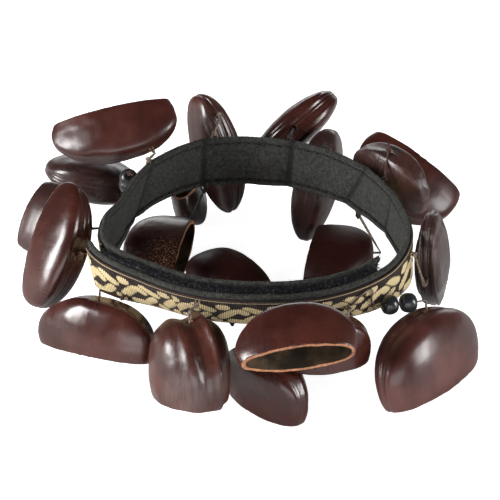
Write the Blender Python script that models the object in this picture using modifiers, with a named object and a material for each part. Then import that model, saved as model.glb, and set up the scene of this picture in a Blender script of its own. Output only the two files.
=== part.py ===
import math

import bmesh
import bpy
from mathutils import Matrix, Vector

MM = 0.001

# Strap: one cotton band laid once round the ankle and lapped over itself at the front
STRAP_WIDTH = 18 * MM
STRAP_THICKNESS = 1.6 * MM
RIBBON_WIDTH = 14.5 * MM
RIBBON_THICKNESS = 0.6 * MM
GRIP_WIDTH = 12 * MM
GRIP_THICKNESS = 1.0 * MM
GRIP_BORDER = 3 * MM
FIT = 0.3 * MM
TOP_EDGE = 46 * MM
LOOP_RADIUS = 46 * MM
STEP = 5

# Degrees clockwise along the strap from its inner end, which stops at this polar angle
INNER_END = 323
LOOP_STRIP_END = 110
RIBBON_START = 125
LIFT_START = 170
LIFT_END = 335
HOOK_START = 365
TAB_START = 455
TAB_END = 485

# How the strap lies: polar angle, radius beyond LOOP_RADIUS in mm, outward lean of its top in degrees
LIE = [
    (8, -6, 0),
    (38, -4.5, 0),
    (68, 0, 0),
    (90, 3, 0),
    (110, 5.5, 0),
    (135, 2, -4),
    (165, -2.5, -6),
    (186, 2, 0),
    (200, 4, 12),
    (222, -1, 28),
    (246, -2.5, 32),
    (270, -3.5, 32),
    (300, -1.5, 28),
    (322, -0.5, 14),
    (338, -2, 0),
]

# Nut shells: half a hollow nut each, a flat keel band opposite the sawn mouth and one end more pointed
WALL = 1.5 * MM
KEEL_HALF = 2.4 * MM
SAWN_BELOW = 0.42
BLUNT = 0.92
TIP_DROP = 0.14
TIP_THIN = 0.2
HOLE_RADIUS = 1.1 * MM
SEGMENTS = 20

# Ties: waxed cord, knotted on the strap and again inside the shell
CORD_RADIUS = 0.5 * MM
CORD_REACH = 2.6 * MM
STITCH_KNOT = 1.3 * MM
INNER_KNOT = 1.7 * MM
BEAD_RADIUS = 3.1 * MM
BEAD_LENGTH = 5.4 * MM
BEAD_BORE = 0.85 * MM

# One row for each shell:
#   where its cord is sewn: polar angle, and height up the strap's face in mm or the edge it leaves by
#   where its hole hangs from there, in mm: outward, counter-clockwise, up
#   which way its mouth faces and its long side lies, in world axes
#   length, depth from mouth to keel and thickness in mm, and the hole's place along the keel in degrees
SHELLS = {
    "front_left": ((212, 5), (5.1, -5, 1), (-0.1, -0.33, -0.94), (0.89, -0.45, 0), (41, 18, 15), 0),
    "front_ridged": ((247, 15), (6, 0, -1), (0, -0.2, -0.98), (-0.35, 0.93, 0), (32, 25, 24), 0),
    "front_open": ((282, 13), (6, -0.6, 5), (0.12, -0.9, -0.4), (1, 0.03, 0.05), (37, 18, 15), 0),
    "front_low": ((268, 2), (-1.4, 3.4, -7.9), (0, 0, -1), (0.66, -0.75, 0), (36, 20, 16), 0),
    "front_right": ((305, 9), (5, -4, 1), (0, 0.12, -0.98), (0.97, 0.24, -0.14), (27, 18, 12), 20),
    "corner_right": ((316, 6), (9, 14, -2.6), (0.2, -0.16, -0.96), (-0.64, -0.77, 0), (47, 24, 20), -8),
    "right_side": ((335, 15), (2.6, 7, -14), (0.25, 0.95, 0.1), (-0.12, -0.1, 1), (34, 18, 10), 0),
    "right_back_high": ((45, "low"), (16, 12, -4), (0.57, 0.69, 0.4), (0.77, -0.4, -0.5), (39, 21, 15), -10),
    "right_back_rough": ((33, 16), (5.8, 8.2, 6), (0.05, 0.1, -1), (0.66, -0.65, -0.4), (34, 18, 12), 0),
    "back_right_small": ((63, "top"), (9, 11, -11.5), (0.3, 0.8, -0.4), (0.28, 0.5, 0.82), (40, 17, 14), 30),
    "back_tall": ((78, "top"), (22, 7, -9), (0, 0.87, -0.5), (0.76, 0.33, 0.56), (39, 18, 14), 0),
    "back_keel": ((106, "top"), (14, -4, -0.5), (-0.6, 0.77, -0.2), (-0.45, 0.4, 0.8), (45, 16, 14), 45),
    "left_back_high": ((138, "top"), (2.8, -6.8, 0.2), (-0.2, 0.75, 0.6), (1, 0.1, 0.2), (43, 17, 13), 28),
    "left_back_low": ((146, 17), (10.1, -17.2, -18), (-0.3, 0.9, -0.1), (0.95, 0.2, -0.3), (33, 18, 15), 25),
    "left_far": ((174, 8), (15, -3, -5), (-0.8, 0.6, 0), (-0.25, -0.6, -0.75), (25, 15, 13), 0),
    "left_tall": ((192, 9), (5, 0, 0), (-0.67, 0.71, -0.17), (-0.3, -0.475, -0.82), (42, 17, 14), 0),
    "inner_left": ((135, 2), (7, 3, -22.2), (0.97, -0.2, 0), (0.1, 1, 0.1), (36, 21, 17), -10),
    "inner_front": ((258, "low"), (-38, -6, -16.6), (0.71, 0.7, 0), (0.7, -0.71, 0), (34, 18, 20), 40),
    "inner_right": ((56, 2), (5, -9, -21.2), (-0.97, 0.22, 0), (0.22, 0.97, 0.05), (34, 21, 17), 20),
    "under_back": ((110, "low"), (15, 1, -19.8), (-0.2, 0, 1), (0.1, 1, 0.1), (24, 16, 12), -60),
}
BEADS = {
    "corner_right": (0.3, 0.66),
    "left_back_low": (0.22, 0.5),
}

for old in list(bpy.data.objects):
    bpy.data.objects.remove(old)

parts = bpy.data.collections.new("ankle_shaker")
cutters = bpy.data.collections.new("cutters")
bpy.context.scene.collection.children.link(parts)
bpy.context.scene.collection.children.link(cutters)


def material(name, colour, roughness):
    mat = bpy.data.materials.new(name)
    mat.use_nodes = True
    shader = mat.node_tree.nodes["Principled BSDF"]
    shader.inputs["Base Color"].default_value = (*colour, 1)
    shader.inputs["Roughness"].default_value = roughness
    return mat


NUT = material("nut_shell", (0.085, 0.028, 0.02), 0.32)
COTTON = material("black_cotton", (0.022, 0.022, 0.021), 0.9)
JACQUARD = material("jacquard_ribbon", (0.2, 0.15, 0.08), 0.7)
GRIP = material("hook_and_loop", (0.012, 0.013, 0.017), 0.95)
CORD = material("waxed_cord", (0.3, 0.2, 0.14), 0.6)
BEAD = material("black_bead", (0.02, 0.021, 0.023), 0.35)


def add(name, bm, mat, collection=parts):
    mesh = bpy.data.meshes.new(name)
    bm.to_mesh(mesh)
    bm.free()
    mesh.materials.append(mat)
    obj = bpy.data.objects.new(name, mesh)
    collection.objects.link(obj)
    return obj


def lie(angle):
    angle = angle % 360
    count = len(LIE)
    k = max((i for i in range(count) if LIE[i][0] <= angle), default=-1)
    four = []
    for i in range(k - 1, k + 3):
        turns, j = divmod(i, count)
        at, radius, lean = LIE[j]
        four.append((at + 360 * turns, radius, lean))
    (a0, r0, n0), (a1, r1, n1), (a2, r2, n2), (a3, r3, n3) = four
    t = (angle - a1) / (a2 - a1)

    def through(v0, v1, v2, v3):
        m1 = (v2 - v0) / (a2 - a0) * (a2 - a1)
        m2 = (v3 - v1) / (a3 - a1) * (a2 - a1)
        h = 2 * t**3 - 3 * t**2
        return (h + 1) * v1 + (t**3 - 2 * t**2 + t) * m1 - h * v2 + (t**3 - t**2) * m2

    return LOOP_RADIUS + through(r0, r1, r2, r3) * MM, math.radians(through(n0, n1, n2, n3))


def plan(angle):
    radius, lean = lie(angle)
    turn = math.radians(angle)
    return Vector((radius * math.cos(turn), radius * math.sin(turn), 0))


LAP = STRAP_THICKNESS + 2 * GRIP_THICKNESS + 3 * FIT
RIBBON_AT = STRAP_THICKNESS + FIT
OUTSIDE = RIBBON_AT + RIBBON_THICKNESS


def strap_frame(wind):
    angle = INNER_END - wind
    radius, lean = lie(angle)
    ahead = (plan(angle + 1) - plan(angle - 1)).normalized()
    out = Vector((ahead.y, -ahead.x, 0))
    rise = Vector((0, 0, 1))
    up = out * math.sin(lean) + rise * math.cos(lean)
    face = out * math.cos(lean) - rise * math.sin(lean)
    t = min(max((wind - LIFT_START) / (LIFT_END - LIFT_START), 0), 1)
    lift = LAP * t * t * (3 - 2 * t)
    corner = plan(angle) + rise * TOP_EDGE - up * STRAP_WIDTH + face * lift
    return corner, ahead, out, up, face


def on_strap(wind, height, depth):
    corner, ahead, out, up, face = strap_frame(wind)
    return corner + up * height + face * depth


def strip(name, start, end, low, high, depth, thickness, rows, mat):
    bm = bmesh.new()
    count = max(1, round((end - start) / STEP))
    bmesh.ops.create_grid(bm, x_segments=count, y_segments=rows, size=0.5)
    for v in bm.verts:
        wind = start + (end - start) * (v.co.x + 0.5)
        height = low + (high - low) * (v.co.y + 0.5)
        v.co = on_strap(wind, height, depth)
    obj = add(name, bm, mat)
    solid = obj.modifiers.new("thickness", "SOLIDIFY")
    solid.thickness = thickness
    solid.offset = -1
    solid.use_even_offset = True
    return obj


ribbon_low = (STRAP_WIDTH - RIBBON_WIDTH) / 2
ribbon_high = ribbon_low + RIBBON_WIDTH
loop_high = STRAP_WIDTH - GRIP_BORDER
loop_low = loop_high - GRIP_WIDTH
tab_gap = math.degrees(FIT / LOOP_RADIUS)

strip("strap", 0, TAB_START, 0, STRAP_WIDTH, 0, STRAP_THICKNESS, 1, COTTON)
strip("ribbon", RIBBON_START, TAB_START, ribbon_low, ribbon_high, RIBBON_AT, RIBBON_THICKNESS, 1, JACQUARD)
strip("loop_strip", STEP, LOOP_STRIP_END, loop_low, loop_high, RIBBON_AT, GRIP_THICKNESS, 1, GRIP)
hook_at = -FIT - GRIP_THICKNESS
strip("hook_strip", HOOK_START, TAB_START, loop_low, loop_high, hook_at, GRIP_THICKNESS, 1, GRIP)
tab_start = TAB_START + tab_gap
strip("tab", tab_start, TAB_END, 0, STRAP_WIDTH, 0, STRAP_THICKNESS, 1, COTTON)
strip("tab_ribbon", tab_start, TAB_END, ribbon_low, ribbon_high, RIBBON_AT, RIBBON_THICKNESS, 1, JACQUARD)
tab_hook_end = TAB_END - (TAB_END - tab_start) / 6
strip("tab_hook", tab_start, tab_hook_end, loop_low, loop_high, hook_at, GRIP_THICKNESS, 1, GRIP)


def tip(x, share):
    return 1 - share * min(x, 0) ** 2


def blunt(x):
    return math.copysign(abs(x) ** BLUNT, x)


def keel_point(length, depth, degrees):
    turn = math.radians(degrees)
    x = blunt(math.sin(turn))
    z = (blunt(math.cos(turn)) + SAWN_BELOW) / (1 + SAWN_BELOW)
    return Vector((length / 2 * x, 0, depth * z * tip(x, TIP_DROP)))


def keel_normal(length, depth, degrees):
    way = keel_point(length, depth, degrees + 1) - keel_point(length, depth, degrees - 1)
    return Vector((-way.z, 0, way.x)).normalized()


# The rings of a quarter nut from its keel to the middle of its cheek:
#   how far in, and how thick there towards the ends and under the keel
RINGS = [(1.0, 0.0, 0.0), (0.86, 0.5, 0.68), (0.5, 0.88, 0.95), (0.0, 1.0, 1.0)]


def shell(name, length, depth, thickness, hole, place):
    bm = bmesh.new()
    rings = 2 * len(RINGS) - 1
    bmesh.ops.create_uvsphere(bm, u_segments=SEGMENTS, v_segments=rings, radius=1)
    for v in bm.verts:
        latitude = math.asin(max(-1, min(1, v.co.z)))
        ring = round((abs(latitude) * rings / math.pi) - 0.5)
        inward, end, crown = RINGS[ring]
        turn = math.atan2(v.co.y, v.co.x)
        side = 1 if v.co.z > 0 else -1
        thick = end + (crown - end) * max(0, math.sin(turn)) ** 2
        v.co = (inward * blunt(math.cos(turn)), side * (thick + 0.001), inward * blunt(math.sin(turn)))
    whole = bm.verts[:] + bm.edges[:] + bm.faces[:]
    below = Vector((0, 0, -SAWN_BELOW))
    bmesh.ops.bisect_plane(bm, geom=whole, plane_co=below, plane_no=(0, 0, 1), clear_inner=True)
    outside = bm.faces[:]
    copied = bmesh.ops.duplicate(bm, geom=bm.verts[:] + bm.edges[:] + outside)
    inside = [f for f in copied["geom"] if isinstance(f, bmesh.types.BMFace)]
    bmesh.ops.reverse_faces(bm, faces=inside)

    def size(faces, wall):
        for v in {v for f in faces for v in f.verts}:
            x, y, z = v.co
            side = 1 if y > 0 else -1
            crown = max(0, z) / max(0.001, math.hypot(x, z))
            keel = (KEEL_HALF - 0.5 * wall) * (0.3 + 0.7 * crown)
            cheek = thickness / 2 - wall
            v.co.x = x * (length / 2 - wall)
            v.co.y = side * (keel + (cheek - keel) * abs(y)) * tip(x, TIP_THIN)
            v.co.z = (depth - wall) * (z + SAWN_BELOW) / (1 + SAWN_BELOW) * tip(x, TIP_DROP)

    size(outside, 0)
    size(inside, WALL)
    bmesh.ops.bridge_loops(bm, edges=[e for e in bm.edges if e.is_boundary])
    bmesh.ops.recalc_face_normals(bm, faces=bm.faces)
    bmesh.ops.transform(bm, matrix=place, verts=bm.verts)
    obj = add("shell_" + name, bm, NUT)
    at = keel_point(length, depth, hole)
    normal = keel_normal(length, depth, hole)
    drill = bmesh.new()
    bmesh.ops.create_cone(
        drill, cap_ends=True, segments=8, radius1=HOLE_RADIUS, radius2=HOLE_RADIUS, depth=8 * WALL
    )
    aim = Matrix.Translation(at) @ Vector((0, 0, 1)).rotation_difference(normal).to_matrix().to_4x4()
    bmesh.ops.transform(drill, matrix=place @ aim, verts=drill.verts)
    cutter = add("drill_" + name, drill, NUT, cutters)
    cutter.hide_render = True
    cutter.display_type = "WIRE"
    cut = obj.modifiers.new("cord hole", "BOOLEAN")
    cut.operation = "DIFFERENCE"
    cut.solver = "EXACT"
    cut.object = cutter
    return obj


def cord(name, points):
    curve = bpy.data.curves.new(name, "CURVE")
    curve.dimensions = "3D"
    curve.bevel_depth = 1
    curve.bevel_resolution = 1
    curve.use_fill_caps = True
    line = curve.splines.new("POLY")
    line.points.add(len(points) - 1)
    for p, (at, radius) in zip(line.points, points):
        p.co = (*at, 1)
        p.radius = radius
    curve.materials.append(CORD)
    obj = bpy.data.objects.new(name, curve)
    parts.objects.link(obj)
    return obj


def bead(name, centre, direction):
    bm = bmesh.new()
    half = BEAD_LENGTH / 2
    waist = 0.55 * BEAD_RADIUS
    outline = [
        (BEAD_BORE, -half),
        (waist, -half),
        (BEAD_RADIUS, -half / 3),
        (BEAD_RADIUS, half / 3),
        (waist, half),
        (BEAD_BORE, half),
    ]
    ring = [bm.verts.new((x, 0, z)) for x, z in outline]
    edges = [bm.edges.new((ring[i], ring[(i + 1) % len(ring)])) for i in range(len(ring))]
    bmesh.ops.spin(
        bm, geom=ring + edges, axis=(0, 0, 1), cent=(0, 0, 0), angle=math.tau, steps=10, use_merge=True
    )
    bmesh.ops.recalc_face_normals(bm, faces=bm.faces)
    aim = Vector((0, 0, 1)).rotation_difference(direction).to_matrix().to_4x4()
    bmesh.ops.transform(bm, matrix=Matrix.Translation(centre) @ aim, verts=bm.verts)
    return add(name, bm, BEAD)


def outer_wind(angle):
    wind = (INNER_END - angle) % 360
    return wind + 360 if wind < TAB_END - 360 else wind


for name, (sewn, hang, mouth, along, (length, depth, thick), hole) in SHELLS.items():
    wind = outer_wind(sewn[0])
    corner, ahead, out, up, face = strap_frame(wind)
    rise = Vector((0, 0, 1))
    clear = STITCH_KNOT + FIT
    if sewn[1] == "low":
        stitch = on_strap(wind, -clear, STRAP_THICKNESS / 2)
    elif sewn[1] == "top":
        stitch = on_strap(wind, STRAP_WIDTH + clear, STRAP_THICKNESS / 2)
    else:
        stitch = on_strap(wind, sewn[1] * MM, OUTSIDE + clear)
    at = keel_point(length * MM, depth * MM, hole)
    normal = keel_normal(length * MM, depth * MM, hole)
    z = -Vector(mouth).normalized()
    x = Vector(along)
    x = (x - z * x.dot(z)).normalized()
    y = z.cross(x)
    spin = Matrix((x, y, z)).transposed().to_4x4()
    hung = stitch + (out * hang[0] + ahead * hang[1] + rise * hang[2]) * MM
    place = Matrix.Translation(hung - spin.to_3x3() @ at) @ spin
    shell(name, length * MM, depth * MM, thick * MM, hole, place)
    drill = spin.to_3x3() @ normal
    outer = hung + drill * CORD_REACH
    inner = hung - drill * (WALL + 0.4 * MM)
    run = (outer - stitch).normalized()
    points = [
        (stitch - run * 0.9 * STITCH_KNOT, 0.6 * STITCH_KNOT),
        (stitch, STITCH_KNOT),
        (stitch + run * 0.9 * STITCH_KNOT, CORD_RADIUS),
        (outer, CORD_RADIUS),
        (inner, CORD_RADIUS),
        (inner - drill * 0.4 * INNER_KNOT, INNER_KNOT),
        (inner - drill * 1.4 * INNER_KNOT, INNER_KNOT),
        (inner - drill * 1.8 * INNER_KNOT, 0.5 * INNER_KNOT),
    ]
    cord("tie_" + name, points)
    for i, share in enumerate(BEADS.get(name, ())):
        bead(f"bead_{name}_{i + 1}", stitch.lerp(outer, share), run)
    print(f"hinge {name} {[round(c, 4) for c in stitch]} axis {[round(-c, 4) for c in ahead]}")

tab_line = TAB_START + tab_gap / 2
print("hinge tab", [round(c, 4) for c in on_strap(tab_line, STRAP_WIDTH, OUTSIDE)], "axis [0, 0, 1]")
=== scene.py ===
import math
import random

import bmesh
import bpy
from mathutils import Matrix, Vector, noise


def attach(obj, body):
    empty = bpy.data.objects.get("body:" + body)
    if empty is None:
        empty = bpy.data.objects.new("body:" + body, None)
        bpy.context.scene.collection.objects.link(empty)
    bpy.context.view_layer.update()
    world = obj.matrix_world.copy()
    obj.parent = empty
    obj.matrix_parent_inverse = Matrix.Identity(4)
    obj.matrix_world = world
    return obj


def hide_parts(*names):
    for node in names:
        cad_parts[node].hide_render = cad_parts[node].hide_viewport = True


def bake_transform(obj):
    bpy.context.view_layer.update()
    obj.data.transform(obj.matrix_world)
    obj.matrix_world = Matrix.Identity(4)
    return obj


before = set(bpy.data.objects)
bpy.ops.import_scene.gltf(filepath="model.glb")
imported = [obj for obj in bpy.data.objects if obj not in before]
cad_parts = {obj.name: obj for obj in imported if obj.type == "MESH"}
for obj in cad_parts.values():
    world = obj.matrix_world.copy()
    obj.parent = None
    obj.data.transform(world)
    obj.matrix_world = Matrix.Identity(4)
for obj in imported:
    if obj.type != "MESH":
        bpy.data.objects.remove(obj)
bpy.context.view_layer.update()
mm = 0.001
dice = random.Random(11)
print("frame loaded,", len(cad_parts), "nodes")


# how the strap lies: it winds clockwise from its inner end, and the angles are in degrees
strapCut = {
    "width": 18 * mm, "middle": 9 * mm, "thick": 1.6 * mm, "top": 46 * mm, "radius": 46 * mm, "fit": 0.3 * mm,
    "grip": 1 * mm, "innerEnd": 323, "tabStart": 455, "tabEnd": 485, "liftStart": 170, "liftEnd": 335,
    # polar angle, mm beyond the radius, outward lean of the top edge
    "lie": [(8, -6, 0), (38, -4.5, 0), (68, 0, 0), (90, 3, 0), (110, 5.5, 0), (135, 2, -4), (165, -2.5, -6),
            (186, 2, 0), (200, 4, 12), (222, -1, 28), (246, -2.5, 32), (270, -3.5, 32), (300, -1.5, 28),
            (322, -0.5, 14), (338, -2, 0)],
}
ribbonCut = {"start": 125, "width": 14.5 * mm, "thick": 0.6 * mm}
ribbonAt = strapCut["thick"] + strapCut["fit"]
ribbonFace = ribbonAt + ribbonCut["thick"]
lapLift = strapCut["thick"] + 2 * strapCut["grip"] + 3 * strapCut["fit"]
upright = Vector((0, 0, 1))


def lieAt(angle):
    # radius and lean of the strap, on a smooth curve through the rows of its lie
    angle %= 360
    rows = strapCut["lie"]
    k = max((i for i in range(len(rows)) if rows[i][0] <= angle), default=-1)
    four = []
    for i in range(k - 1, k + 3):
        turns, j = divmod(i, len(rows))
        four.append((rows[j][0] + 360 * turns, rows[j][1], rows[j][2]))
    (a0, *v0), (a1, *v1), (a2, *v2), (a3, *v3) = four
    t = (angle - a1) / (a2 - a1)
    h = 2 * t ** 3 - 3 * t ** 2
    out = []
    for p0, p1, p2, p3 in zip(v0, v1, v2, v3):
        m1 = (p2 - p0) / (a2 - a0) * (a2 - a1)
        m2 = (p3 - p1) / (a3 - a1) * (a2 - a1)
        out.append((h + 1) * p1 + (t ** 3 - 2 * t ** 2 + t) * m1 - h * p2 + (t ** 3 - t ** 2) * m2)
    return strapCut["radius"] + out[0] * mm, math.radians(out[1])


def planAt(angle):
    radius = lieAt(angle)[0]
    return Vector((radius * math.cos(math.radians(angle)), radius * math.sin(math.radians(angle)), 0))


framesSeen = {}


def strapFrame(wind):
    # lower edge, and the ways ahead, outward, up the cloth and off its face
    if wind not in framesSeen:
        angle = strapCut["innerEnd"] - wind
        lean = lieAt(angle)[1]
        ahead = (planAt(angle + 1) - planAt(angle - 1)).normalized()
        out = Vector((ahead.y, -ahead.x, 0))
        up = out * math.sin(lean) + upright * math.cos(lean)
        face = out * math.cos(lean) - upright * math.sin(lean)
        lift = lapLift * Counted().step(wind, strapCut["liftStart"], strapCut["liftEnd"])
        corner = planAt(angle) + upright * strapCut["top"] - up * strapCut["width"] + face * lift
        framesSeen[wind] = corner, ahead, out, up, face
    return framesSeen[wind]


def onStrap(wind, height, depth):
    corner, ahead, out, up, face = strapFrame(wind)
    return corner + up * height + face * depth


def upCloth(height):
    # mm above the middle of the cloth
    return (height - strapCut["middle"]) / mm


class Nodes:
    # short ways to add nodes to a tree
    def __init__(self, owner):
        owner.use_nodes = True
        self.tree = owner.node_tree

    def feed(self, socket, value):
        value = value.socket if isinstance(value, Term) else value
        if isinstance(value, bpy.types.NodeSocket):
            self.tree.links.new(value, socket)
        else:
            socket.default_value = value

    def node(self, kind, inputs, **settings):
        made = self.tree.nodes.new("ShaderNode" + kind)
        for key, value in settings.items():
            setattr(made, key, value)
        for key, value in inputs.items():
            self.feed(made.inputs[key], value)
        return made


class Term:
    # a node's output that adds and multiplies like a number
    def __init__(self, finish, socket):
        self.finish, self.socket = finish, socket

    def __add__(self, other):
        return self.finish.calc("ADD", self, other)

    def __sub__(self, other):
        return self.finish.calc("SUBTRACT", self, other)

    def __rsub__(self, other):
        return self.finish.calc("SUBTRACT", other, self)

    def __mul__(self, other):
        return self.finish.calc("MULTIPLY", self, other)


class Finish(Nodes):
    # a material
    noiseMid = 0.3, 0.7     # most of a noise lies between these

    def __init__(self, name, **fixed):
        self.mat = bpy.data.materials.new(name)
        super().__init__(self.mat)
        self.shader = self.tree.nodes["Principled BSDF"]
        for socket, value in fixed.items():
            self.shader.inputs[socket.replace("_", " ")].default_value = value

    def number(self, kind, inputs, output=0, **settings):
        return Term(self, self.node(kind, inputs, **settings).outputs[output])

    def calc(self, operation, *values):
        return self.number("Math", dict(enumerate(values)), operation=operation)

    def sin(self, x):
        return self.calc("SINE", x)

    def abs(self, x):
        return self.calc("ABSOLUTE", x)

    def max(self, a, b):
        return self.calc("MAXIMUM", a, b)

    def min(self, a, b):
        return self.calc("MINIMUM", a, b)

    def wrap(self, x, size):
        return self.calc("FLOORED_MODULO", x, size)

    def step(self, value, low, high, first=0.0, last=1.0):
        return self.number("MapRange", {0: value, 1: low, 2: high, 3: first, 4: last},
                           interpolation_type="SMOOTHSTEP")

    def spread(self, value, first=0.0, last=1.0):
        return self.step(value, *self.noiseMid, first, last)

    def mix(self, share, first, second):
        first, second = [c if isinstance(c, bpy.types.NodeSocket) else (*c, 1) for c in (first, second)]
        return self.node("Mix", {0: share, 6: first, 7: second}, data_type="RGBA").outputs[2]

    def coords(self):
        return self.node("TexCoord", {}).outputs["Object"]

    def cloth(self):
        # mm along the cloth and up it
        spot = self.node("TexCoord", {}).outputs["UV"]
        return [self.number("SeparateXYZ", {0: spot}, axis) for axis in (0, 1)]

    def attribute(self, name):
        return self.number("Attribute", {}, "Fac", attribute_name=name)

    def stretch(self, vector, scale):
        return self.node("VectorMath", {0: vector, 1: scale}, operation="MULTIPLY").outputs[0]

    def noise(self, scale, detail=3.0, rough=0.55, at=None):
        return self.number("TexNoise", {"Vector": at or self.coords(), "Scale": scale, "Detail": detail,
                                        "Roughness": rough})

    def near(self, vector, patch, core, most):
        # how a patch (x, y, z, reach in mm) shows: most in its core, nothing past its reach
        *spot, reach = [v * mm for v in patch]
        far = self.number("VectorMath", {0: vector, 1: spot}, "Value", operation="DISTANCE")
        return self.step(far, reach * core, reach, most, 0.0)

    def done(self, colour, rough, height, deep):
        bump = self.node("Bump", {"Height": height, "Distance": deep, "Strength": 1.0}).outputs[0]
        for socket, value in {"Base Color": colour, "Roughness": rough, "Normal": bump}.items():
            self.feed(self.shader.inputs[socket], value)
        return self.mat


class Counted:
    # a finish's steps as plain numbers
    sin, abs, max, min = math.sin, abs, max, min

    def wrap(self, x, size):
        return x % size

    def step(self, x, low, high):
        t = (x - low) / (high - low)
        return 0 if t < 0 else 1 if t > 1 else t * t * (3 - 2 * t)


def cottonFinish():
    look = {"deep": (0.0036, 0.0036, 0.0038), "worn": (0.0115, 0.0114, 0.0105),
            "lint": (0.076, 0.0755, 0.066), "fold": (0.0025, 0.0025, 0.0028), "ribRate": 9.0, "hemLine": 6.8,
            "ribTone": 0.16, "lintTone": (0.33, 0.75, 0.12, 0.85), "hemShade": (0.25, 0.7, 0.75, 0.0),
            "foldShade": (0.4, 2.6, 0.0, 0.85), "rough": (0.8, 0.95), "ribHigh": 0.6, "relief": 0.25 * mm}
    made = Finish("blackCotton", Sheen_Weight=0.1, Sheen_Roughness=0.45, Sheen_Tint=(0.62, 0.62, 0.6, 1),
                  Specular_IOR_Level=0.25)
    u, v = made.cloth()
    ribs = made.sin(u * look["ribRate"]) * made.sin(v * look["ribRate"])
    lint = made.noise(scale=900.0, detail=6.0, rough=0.7)
    worn = made.noise(scale=70.0)
    tone = ribs * look["ribTone"] + made.step(lint, *look["lintTone"])
    cloth = made.mix(tone, made.mix(worn, look["deep"], look["worn"]), look["lint"])
    # painted shade: the cloth's colour darkens along the stitched hem grooves and along its folds
    fromHem = made.abs(made.abs(v) - look["hemLine"])
    dark = made.max(made.step(fromHem, *look["hemShade"]),
                    made.step(made.attribute("fold"), *look["foldShade"]))
    return made.done(made.mix(dark, cloth, look["fold"]), made.spread(worn, *look["rough"]),
                     ribs * look["ribHigh"] + lint, look["relief"])


def gripFinish():
    look = {"deep": (0.001, 0.001, 0.0016), "worn": (0.0026, 0.0028, 0.0044), "lint": (0.085, 0.09, 0.108),
            "lintAndGlintEdge": (0.54, 0.66), "rough": (0.7, 0.9), "relief": 0.4 * mm}
    made = Finish("hookAndLoop", Sheen_Weight=0.06, Sheen_Roughness=0.5, Specular_IOR_Level=0.3)
    lint = made.noise(scale=1150.0, rough=0.7)
    patch = made.noise(scale=160.0)
    ground = made.mix(patch, look["deep"], look["worn"])
    # the pale specks are lint, and also painted glints on the glossy hook curls
    return made.done(made.mix(made.step(lint, *look["lintAndGlintEdge"]), ground, look["lint"]),
                     made.spread(patch, *look["rough"]), lint, look["relief"])


braidCut = {
    "repeat": 14.8, "teeth": 0.2, "leafEdge": (0.68, 0.88), "outline": (1.1, 1.45),
    "lineUp": 6.65, "lineEdge": (0.13, 0.26), "lineShare": 0.8, "weft": (9.7, 1.2),
    # gold strands in one repeat, each of leaves: along, up, half length, half width (mm), tilt in degrees
    "strands": [[(0, 3.1, 2.1, 1.9, 0)],
                [(-9.1, 1.7, 4.1, 1.75, 27)],
                [(-8.3, -3.5, 3.2, 1.55, -42), (-4.0, -5.6, 3.4, 1.4, 4)],
                [(2.7, -5.4, 2.0, 1.3, 25)],
                [(-5.6, 0.5, 2.6, 1.6, 38), (-1.3, -1.2, 4.6, 1.75, -46)]],
}


def weftRun(u, v):
    # the gold threads lie side by side, a little aslant
    rate, slant = braidCut["weft"]
    return u * rate + v * slant


def braid(u, v, do):
    # how far gold thread covers the ground; u runs along the ribbon and v up it, in mm
    repeat, half = braidCut["repeat"], braidCut["repeat"] / 2
    teeth = do.sin(weftRun(u, v)) * braidCut["teeth"]
    gold = None
    for leaves in braidCut["strands"]:
        reach = None
        for along, up, longHalf, wideHalf, tilt in leaves:
            c, t = math.cos(math.radians(tilt)), math.sin(math.radians(tilt))
            du, dv = do.wrap(u - (along - half), repeat) - half, v - up
            x, y = (du * c + dv * t) * (1 / longHalf), (dv * c - du * t) * (1 / wideHalf)
            x = x * x
            far = x * x + y * y + teeth
            reach = far if reach is None else do.min(reach, far)
        leaf = 1.0 - do.step(reach, *braidCut["leafEdge"])
        # a strand keeps a dark outline where it crosses the ones under it
        gold = leaf if gold is None else do.max(gold * do.step(reach, *braidCut["outline"]), leaf)
    line = 1.0 - do.step(do.abs(do.abs(v) - braidCut["lineUp"]), *braidCut["lineEdge"])
    return do.max(gold, line * braidCut["lineShare"])


def ribbonFinish():
    look = {"gold": (0.92, 0.78, 0.46), "shade": (0.52, 0.37, 0.175), "worn": (0.36, 0.235, 0.1),
            "ground": (0.007, 0.0038, 0.0036), "wornGround": (0.034, 0.0165, 0.0135), "ply": (21.0, 0.5),
            "wear": (0.54, 0.8), "wearHigh": 0.6, "rough": (0.5, 0.72), "relief": 0.12 * mm}
    made = Finish("jacquardRibbon", Sheen_Weight=0.04, Specular_IOR_Level=0.25)
    u, v = made.cloth()
    rate, sway = look["ply"]
    thread = made.step(made.sin(weftRun(u, v) + made.sin(v * rate) * sway), -1.0, 1.0)
    worn = made.noise(scale=220.0, detail=4.0, rough=0.65)
    gold = made.mix(thread, look["gold"], look["shade"])
    pale = made.mix(made.step(worn, *look["wear"]), gold, look["worn"])
    ground = made.mix(made.spread(worn), look["ground"], look["wornGround"])
    return made.done(made.mix(braid(u, v, made), ground, pale), made.step(thread, 0.0, 1.0, *look["rough"]),
                     worn * look["wearHigh"] - thread, look["relief"])


def cordFinish(name, low, high):
    look = {"rough": (0.78, 0.52), "relief": 0.15 * mm}
    made = Finish(name, Specular_IOR_Level=0.35)
    twist = made.noise(scale=1300.0, detail=4.0, rough=0.6)
    return made.done(made.mix(made.spread(twist), low, high), made.spread(twist, *look["rough"]),
                     twist, look["relief"])


def beadFinish():
    look = {"deep": (0.006, 0.007, 0.008), "pale": (0.026, 0.029, 0.031), "rough": (0.26, 0.42),
            "relief": 0.05 * mm}
    made = Finish("blackBead", Specular_IOR_Level=0.5, Coat_Weight=0.25, Coat_Roughness=0.2)
    cloud = made.noise(scale=420.0)
    return made.done(made.mix(cloud, look["deep"], look["pale"]), made.spread(cloud, *look["rough"]),
                     cloud, look["relief"])


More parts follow.
